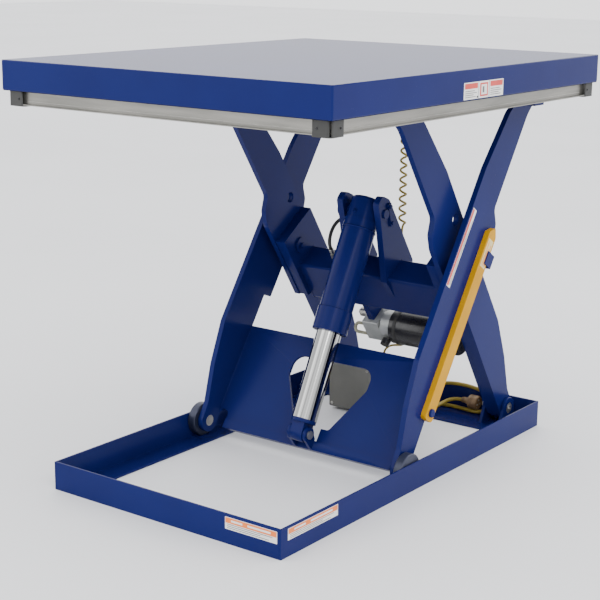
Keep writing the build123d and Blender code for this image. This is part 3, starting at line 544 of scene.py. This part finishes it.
LEAD_ROUTE = [
    (0.590, 0.040, 0.690),
    (0.590, 0.040, 0.645),
    (0.590, 0.032, 0.598),
    (0.594, 0.024, 0.548),
    (0.590, 0.014, 0.498),
    (0.593, 0.006, 0.446),
    (0.589, -0.002, 0.394),
    (0.591, -0.009, 0.352),
    (0.589, -0.011, 0.318),
    (0.588, -0.005, 0.290),
    (0.590, 0.009, 0.268),
    (0.594, 0.029, 0.255),
    (0.598, 0.054, 0.250),
    (0.600, 0.079, 0.245),
    (0.600, 0.099, 0.232),
    (0.600, 0.110, 0.2145),
    (0.600, 0.110, 0.199),
]


def add_switch_lead():
    """The toe guard switch's lead: curly under the deck, then plain down to the control box."""
    diameter = 0.008
    top = Vector((0.590, 0.040, low("guard_switch_box").z))
    coil_radius = 0.0112
    turns = 16
    steps_each = 12
    coil_high = top.z - 0.022
    coil_low = LEAD_ROUTE[0][2] + 0.014
    route = [tuple(top), (top.x, top.y, top.z - 0.010)]
    for i in range(turns * steps_each + 1):
        share = i / (turns * steps_each)
        angle = 2 * math.pi * turns * share
        sway = 1 + 0.05 * math.sin(9 * share)
        route.append(
            (
                top.x + coil_radius * sway * math.cos(angle),
                top.y + coil_radius * sway * math.sin(angle),
                coil_high + (coil_low - coil_high) * share,
            )
        )
    route += LEAD_ROUTE
    curve = route_curve("switch_lead", route, diameter, "cord_yellow", 4)
    line = centre_line(curve)
    cord = as_mesh(curve)
    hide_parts("switch_lead_curly", "switch_lead_lower")
    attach(cord, "base")
    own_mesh(cord)


HOSE_ROUTE = [
    (0.390, 0.0077, 0.7452),
    (0.4026, 0.0218, 0.739),
    (0.4094, 0.0403, 0.7355),
    (0.410, 0.064, 0.737),
    (0.408, 0.090, 0.743),
    (0.402, 0.117, 0.748),
    (0.393, 0.143, 0.748),
    (0.381, 0.164, 0.738),
    (0.367, 0.177, 0.720),
    (0.354, 0.182, 0.698),
    (0.344, 0.182, 0.676),
    (0.337, 0.179, 0.657),
]


def add_hose():
    """The pressure hose from the back of the cylinder's head round the far ear to the tube."""
    diameter = 0.013
    head = joint_place("cylinder_trunnion")
    axis = next(j["axis"] for j in frame["record"]["behaviour"]["joints"] if j["name"] == "rod_stroke")
    port_way = Vector((-axis[2], 0, axis[0]))
    head_radius, port_length = 0.057, 0.020
    start = Vector((head.x, 0, head.z)) + port_way * (head_radius + port_length)
    tube_way = Vector((-math.cos(leg_tilt), 0, math.sin(leg_tilt)))
    end = on_inner_leg(-0.055, 0.018, 0.176) + tube_way * 0.018
    route = [start, start + port_way * 0.020, *[Vector(p) for p in HOSE_ROUTE], end + tube_way * 0.024, end]
    curve = route_curve("pressure_hose", [tuple(p) for p in route], diameter, "hose_rubber")
    line = centre_line(curve)
    hose = as_mesh(curve)
    vertices, faces = [], []
    crimp = [
        (0.0085, -0.001, "hex"), (0.0085, 0.006, "hex"), (0.0092, 0.007, "round"), (0.0092, 0.012, "round"),
        (0.0084, 0.0125, "round"), (0.0084, 0.0140, "round"), (0.0092, 0.0145, "round"),
        (0.0092, 0.020, "round"), (0.0078, 0.021, "round"),
    ]
    turned(vertices, faces, start, port_way, crimp)
    head_crimp = sharpen(new_piece("hose_crimp_head", vertices, faces, [FINISHES["zinc_steel"]]))
    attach(head_crimp, "cylinder")
    vertices, faces = [], []
    turned(vertices, faces, end, tube_way, crimp)
    tube_crimp = sharpen(new_piece("hose_crimp_tube", vertices, faces, [FINISHES["zinc_steel"]]))
    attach(tube_crimp, "inner_scissor")
    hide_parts("hydraulic_hose")
    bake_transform(hose)


add_power_cord()
add_switch_lead()
add_hose()


# ---------------------------------------------------------------- glands and electrical box
def add_glands():
    """Ribbed glands with hexagon nuts, the mains one ending in a tapered relief over the cord."""
    vertices, faces = [], []
    box_side = low("control_box").y
    cord_exit = Vector(POWER_ROUTE[0])
    foot = Vector((cord_exit.x, box_side, cord_exit.z))
    rings = [(0.0135, 0.0, "hex"), (0.0135, 0.005, "hex")]
    rings += [(0.0118, 0.0055, "round"), (0.0118, 0.008, "round")]
    rings += [(0.0128, 0.0085, "hex"), (0.0128, 0.0145, "hex"), (0.0105, 0.0165, "round")]
    for rib in range(6):
        height = 0.018 + rib * 0.0042
        size = 0.0102 - rib * 0.00035
        rings += [(size, height, "round"), (size, height + 0.0022, "round")]
        rings += [(size - 0.0012, height + 0.0026, "round"), (size - 0.0012, height + 0.0038, "round")]
    turned(vertices, faces, foot, -Y, rings)
    lead_end = Vector(LEAD_ROUTE[-1])
    top = Vector((lead_end.x, lead_end.y, high("control_box").z))
    rings = [(0.0105, 0.0, "hex"), (0.0105, 0.005, "hex")]
    rings += [(0.0085, 0.0055, "round"), (0.0085, 0.0075, "round")]
    rings += [(0.0098, 0.008, "hex"), (0.0098, 0.0135, "hex"), (0.0078, 0.0165, "round")]
    rings += [(0.0062, 0.021, "round"), (0.0052, 0.026, "round"), (0.0044, 0.030, "round")]
    turned(vertices, faces, top, Z, rings)
    piece = sharpen(new_piece("gland_nuts", vertices, faces, [FINISHES["corner_plastic"]]))
    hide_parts("cable_glands")
    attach(piece, "base")


def add_box_details():
    """Cover screws on the control box."""
    cover_low, cover_high = low("control_box_cover"), high("control_box_cover")
    inset = 0.012
    spots = [
        (Vector((cover_low.x, y, z)), -X)
        for y in (cover_low.y + inset, cover_high.y - inset)
        for z in (cover_low.z + inset, cover_high.z - inset)
    ]
    cap_screws("cover_screws", "base", spots, 0.0042, "zinc_steel")


def add_switch_box_details():
    box_low, box_high = low("guard_switch_box"), high("guard_switch_box")
    level = box_low.z + 0.012
    spots = [
        (Vector((x, y, level)), -Z)
        for x in (box_low.x + 0.008, box_high.x - 0.008)
        for y in (box_low.y + 0.008, box_high.y - 0.008)
    ]
    cap_screws("switch_box_screws", "platform", spots, 0.003, "zinc_steel")


add_glands()
add_box_details()
add_switch_box_details()


# ---------------------------------------------------------------- toe guard
def add_guard_springs():
    """Coil springs round the hangers that press the guard down."""
    box_low, box_high = low("toe_guard_hangers"), high("toe_guard_hangers")
    spring_low = low("toe_guard_springs").z
    spring_high = high("toe_guard_springs").z
    shank = 0.008
    spots = []
    for x in (-0.600, -0.010, 0.600):
        spots += [(x, box_low.y + shank), (x, box_high.y - shank)]
    for y in (-0.250, 0.250):
        spots += [(box_low.x + shank, y), (box_high.x - shank, y)]
    wire, turns, steps, sides = 0.0009, 9, 18, 6
    radius = 0.0068
    vertices, faces = [], []
    for x, y in spots:
        base = len(vertices)
        count = turns * steps
        for i in range(count + 1):
            share = i / count
            angle = 2 * math.pi * turns * share
            height = spring_low + wire + (spring_high - spring_low - 2 * wire) * share
            spoke = Vector((math.cos(angle), math.sin(angle), 0))
            for k in range(sides):
                around = 2 * math.pi * k / sides
                offset = spoke * (radius + wire * math.cos(around)) + Z * (wire * math.sin(around))
                vertices.append(Vector((x, y, height)) + offset)
        for i in range(count):
            for k in range(sides):
                a = base + i * sides + k
                b = base + i * sides + (k + 1) % sides
                faces.append((a, b, b + sides, a + sides))
        faces.append(tuple(reversed(range(base, base + sides))))
        faces.append(tuple(range(base + count * sides, base + (count + 1) * sides)))
    piece = new_piece("guard_coil_springs", vertices, faces, [FINISHES["zinc_steel"]])
    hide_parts("toe_guard_springs")
    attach(piece, "platform")
    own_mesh(piece)


def add_guard_grooves():
    """Two shadow lines rolled into the outer face of each guard rail."""
    rail_low, rail_high = low("toe_guard_rails"), high("toe_guard_rails")
    web_near, web_far = -0.594 + 0.0115, 0.594 - 0.0115
    blocks = []
    proud, height, gap = 0.0006, 0.0016, 0.066
    vertices, faces = [], []
    lines = (rail_low.z + 0.011, rail_high.z - 0.012)
    for z in lines:
        for start, end, outward in (
            (Vector((rail_low.x + gap, web_near, z)), Vector((rail_high.x - gap, web_near, z)), -Y),
            (Vector((rail_low.x + gap, web_far, z)), Vector((rail_high.x - gap, web_far, z)), Y),
        ):
            blocks.append((start, end, outward))
        front = -0.740
        blocks.append((Vector((front, rail_low.y + gap, z)), Vector((front, rail_high.y - gap, z)), -X))
    for start, end, outward in blocks:
        base = len(vertices)
        for place in (start, end):
            for rise, out in ((0, -0.0002), (height * 0.3, proud), (height * 0.7, proud), (height, -0.0002)):
                vertices.append(place + Z * rise + outward * out)
        for k in range(4):
            faces.append((base + k, base + (k + 1) % 4, base + 4 + (k + 1) % 4, base + 4 + k))
        faces.append((base, base + 1, base + 2, base + 3))
        faces.append((base + 4, base + 5, base + 6, base + 7))
    piece = new_piece("guard_rail_beads", vertices, faces, [FINISHES["zinc_steel"]], smooth=False)
    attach(piece, "toe_guard")


def add_corner_screws():
    corners_low, corners_high = low("toe_guard_corners"), high("toe_guard_corners")
    level = (corners_low.z + corners_high.z) / 2
    back = 0.045
    spots = []
    for x, sign_x in ((corners_low.x, -1), (corners_high.x, 1)):
        for y, sign_y in ((corners_low.y, -1), (corners_high.y, 1)):
            spots.append((Vector((x - sign_x * back, y, level)), Vector((0, sign_y, 0))))
            spots.append((Vector((x, y - sign_y * back, level)), Vector((sign_x, 0, 0))))
    cap_screws("corner_screws", "toe_guard", spots, 0.0032, "black_housing")


add_guard_springs()
add_guard_grooves()
add_corner_screws()


# ---------------------------------------------------------------- welds
def add_welds():
    leg_face = 0.387
    runs = []
    for side in (-1, 1):
        for over in (-0.031, -0.041):
            runs.append(
                (on_outer_leg(-0.322, over, side * leg_face), on_outer_leg(-0.625, over, side * leg_face))
            )
    weld_beads("torque_plate_welds", "outer_scissor", runs)
    runs = []
    tube_top, tube_bottom, tube_front, tube_back = -0.055, -0.220, 0.0575, -0.0445
    corners = [
        (tube_top, tube_front), (tube_bottom, tube_front),
        (tube_bottom, tube_back), (tube_top, tube_back),
    ]
    for side in (-1, 1):
        y = side * 0.2905
        for i, (along, over) in enumerate(corners):
            next_along, next_over = corners[(i + 1) % 4]
            runs.append((on_inner_leg(along, over, y), on_inner_leg(next_along, next_over, y)))
    weld_beads("cross_tube_welds", "inner_scissor", runs)
    runs = []
    lugs_low, lugs_high = low("lower_pivot_lugs"), high("lower_pivot_lugs")
    for y in (-0.362, -0.350, -0.286, -0.274, 0.274, 0.286, 0.350, 0.362):
        runs.append((Vector((lugs_low.x, y, lugs_low.z)), Vector((lugs_high.x, y, lugs_low.z))))
    rails_low, rails_high = low("base_side_rails"), high("base_side_rails")
    corner_y = 0.441
    for x in (rails_low.x + 0.0064, rails_high.x - 0.0064):
        for side in (-1, 1):
            corner_foot = Vector((x, side * corner_y, 0.008))
            corner_top = Vector((x, side * corner_y, rails_high.z - 0.002))
            runs.append((corner_foot, corner_top))
    weld_beads("base_welds", "base", runs)
    runs = []
    lugs_low, lugs_high = low("upper_pivot_lugs"), high("upper_pivot_lugs")
    for y in (-0.424, -0.410, -0.384, -0.370, 0.370, 0.384, 0.410, 0.424):
        runs.append((Vector((lugs_low.x, y, lugs_high.z)), Vector((lugs_high.x, y, lugs_high.z))))
    under = high("roller_tracks").z
    track_low, track_high = low("roller_tracks"), high("roller_tracks")
    for side in (-1, 1):
        y = side * 0.3525
        runs.append((Vector((track_low.x, y, under)), Vector((track_high.x, y, under))))
    weld_beads("deck_welds", "platform", runs)


add_welds()


# ---------------------------------------------------------------- labels
def add_labels():
    skirt = low("platform_deck").y
    panel = []
    for left, right in ((0.0, 0.36), (0.37, 0.63), (0.64, 1.0)):
        width = right - left
        panel.append((left, 0, right, 1, LABEL_WHITE, 1))
        if width > 0.3:
            panel.append((left + 0.02, 0.62, right - 0.02, 0.94, LABEL_RED, 2))
            panel += text_lines(left + 0.03, 0.08, right - 0.03, 0.55, 4, LABEL_GREY)
        else:
            panel.append((left + 0.03, 0.1, right - 0.03, 0.9, LABEL_RED, 2))
            panel.append((left + 0.06, 0.2, right - 0.06, 0.8, LABEL_WHITE, 3))
            panel.append((left + 0.09, 0.32, right - 0.13, 0.68, LABEL_GREY, 4))
    label(
        "skirt_label", "platform", Vector((-0.118, skirt, 1.2445)), X, Z, (0.229, 0.049), panel
    )
    base_low = low("base_side_rails")
    strip = [(0, 0, 1, 1, LABEL_WHITE, 1), (0.01, 0.52, 0.99, 0.96, LABEL_ORANGE, 2)]
    strip += [(0.12, 0.66, 0.34, 0.82, LABEL_WHITE, 3), (0.44, 0.66, 0.88, 0.82, LABEL_WHITE, 3)]
    strip += text_lines(0.04, 0.06, 0.96, 0.5, 3, LABEL_GREY)
    front = low("base_end_rails").x
    label("base_front_label", "base", Vector((front, -0.246, 0.046)), -Y, Z, (0.188, 0.037), strip)
    label("base_side_label", "base", Vector((-0.721, base_low.y, 0.050)), X, Z, (0.242, 0.035), strip)
    leg_face = low("outer_legs").y
    along = Vector((math.cos(leg_tilt), 0, math.sin(leg_tilt)))
    over = Vector((-math.sin(leg_tilt), 0, math.cos(leg_tilt)))
    strip = [(0, 0, 1, 1, LABEL_WHITE, 1), (0.01, 0.54, 0.99, 0.96, LABEL_RED, 2)]
    strip += text_lines(0.03, 0.08, 0.97, 0.48, 2, LABEL_GREY)
    label(
        "leg_label", "outer_scissor", on_outer_leg(-0.100, 0.094, leg_face - leg_centre.y), along, over,
        (0.278, 0.024), strip,
    )
    bar_face = low("safety_bar").y
    pale = [(0, 0, 1, 1, LABEL_PALE, 1)]
    pale += text_lines(0.06, 0.1, 0.94, 0.9, 3, LABEL_ORANGE)
    label(
        "bar_label", "maintenance_bar", on_outer_leg(0.030, -0.040, bar_face), along, over,
        (0.1, 0.034), pale,
    )


add_labels()


# ---------------------------------------------------------------- small hardware
def add_hardware():
    skirt = low("platform_deck").y
    cap_screws("skirt_screw", "platform", [(Vector((-0.041, skirt, 1.2495)), -Y)], 0.003, "black_housing")
    head = joint_place("cylinder_trunnion")
    axis = next(j["axis"] for j in frame["record"]["behaviour"]["joints"] if j["name"] == "rod_stroke")
    down = Vector(axis)
    front_way = Vector((axis[2], 0, -axis[0]))
    vertices, faces = [], []
    place = Vector((head.x, 0, head.z)) + down * 0.004
    seam_rings = [
        (0.0575, 0.060, "round"), (0.0592, 0.0615, "round"), (0.0592, 0.0655, "round"),
        (0.0575, 0.067, "round"),
    ]
    turned(vertices, faces, place, down, seam_rings, 64, hollow=True)
    seam = new_piece("cylinder_seam_weld", vertices, faces, [FINISHES["blue_paint"]])
    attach(seam, "cylinder")
    plug_at = Vector((head.x, 0, head.z)) + down * 0.016 + front_way * 0.0555
    cap_screws("cylinder_bleed_plug", "cylinder", [(plug_at, front_way)], 0.0058, "blue_paint")
    tank_low, tank_high = low("oil_tank"), high("oil_tank")
    middle = (tank_low + tank_high) / 2
    radius = (tank_high.z - tank_low.z) / 2
    vertices, faces = [], []
    for y in (tank_low.y + 0.022, tank_high.y - 0.030):
        band = [
            (radius - 0.001, 0.0, "round"), (radius + 0.0016, 0.0005, "round"),
            (radius + 0.0016, 0.0125, "round"), (radius - 0.001, 0.013, "round"),
        ]
        turned(vertices, faces, Vector((middle.x, y, middle.z)), Y, band, 72, hollow=True)
    bands = sharpen(new_piece("tank_bands", vertices, faces, [FINISHES["motor_iron"]]))
    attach(bands, "inner_scissor")
    block_low, block_high = low("valve_block"), high("valve_block")
    screw_circle = 0.044
    spots = []
    for turn in (45, 135, 225, 315):
        angle = math.radians(turn) + leg_tilt
        spots.append(
            (
                Vector(((block_low.x + block_high.x) / 2 + screw_circle * math.cos(angle), block_high.y,
                        (block_low.z + block_high.z) / 2 + screw_circle * math.sin(angle))),
                Y,
            )
        )
    cap_screws("valve_block_screws", "inner_scissor", spots, 0.0048, "zinc_steel")
    axle_spots = []
    for node in ("lower_roller_near", "lower_roller_far"):
        roller_low, roller_high = low(node), high(node)
        sign = 1 if roller_low.y > 0 else -1
        outer = (high("lower_roller_axles").y if sign > 0 else low("lower_roller_axles").y)
        axle_spots.append(
            (Vector(((roller_low.x + roller_high.x) / 2, outer, (roller_low.z + roller_high.z) / 2)),
             Vector((0, sign, 0)))
        )
    cap_screws("roller_grease_caps", "outer_scissor", axle_spots, 0.007, "zinc_steel")
    # The caps sit in the pin ends, clear of the upper lugs when the table is down.
    cap_y = 0.3545
    pin_spots = [
        (Vector((leg_foot.x, sign * cap_y, leg_foot.z)), Vector((0, sign, 0))) for sign in (-1, 1)
    ]
    cap_screws("lower_pin_caps", "base", pin_spots, 0.011, "zinc_steel")


add_hardware()


# ---------------------------------------------------------------- studio
def add_studio():
    floor_finish = finish("studio_floor", ((0.83, 0.83, 0.84), (0.86, 0.86, 0.87)), (0.55, 0.65), blotch=0.5,
                          bump=0.0)
    half = 30  # metres, so that the floor's edge is far behind the table
    floor = new_piece(
        "studio_floor",
        [(-half, -half, 0), (half, -half, 0), (half, half, 0), (-half, half, 0)],
        [(0, 1, 2, 3)],
        [floor_finish],
    )
    world = bpy.data.worlds.new("studio")
    bpy.context.scene.world = world
    world.use_nodes = True
    sky = world.node_tree.nodes["Background"]
    sky.inputs["Color"].default_value = (0.97, 0.98, 1.0, 1)
    sky.inputs["Strength"].default_value = 2.0
    for name, place, size, power in (
        ("key", (-3.2, -3.6, 4.4), 2.6, 90),
        ("fill", (-4.5, 2.2, 2.4), 3.0, 30),
        ("rim", (3.0, -2.6, 3.0), 2.4, 30),
    ):
        data = bpy.data.lights.new(name, "AREA")
        data.size = size
        data.energy = power
        lamp = bpy.data.objects.new(name, data)
        bpy.context.collection.objects.link(lamp)
        lamp.location = place
        lamp.rotation_euler = (Vector((0, 0, 0.7)) - Vector(place)).to_track_quat("-Z", "Y").to_euler()


add_studio()
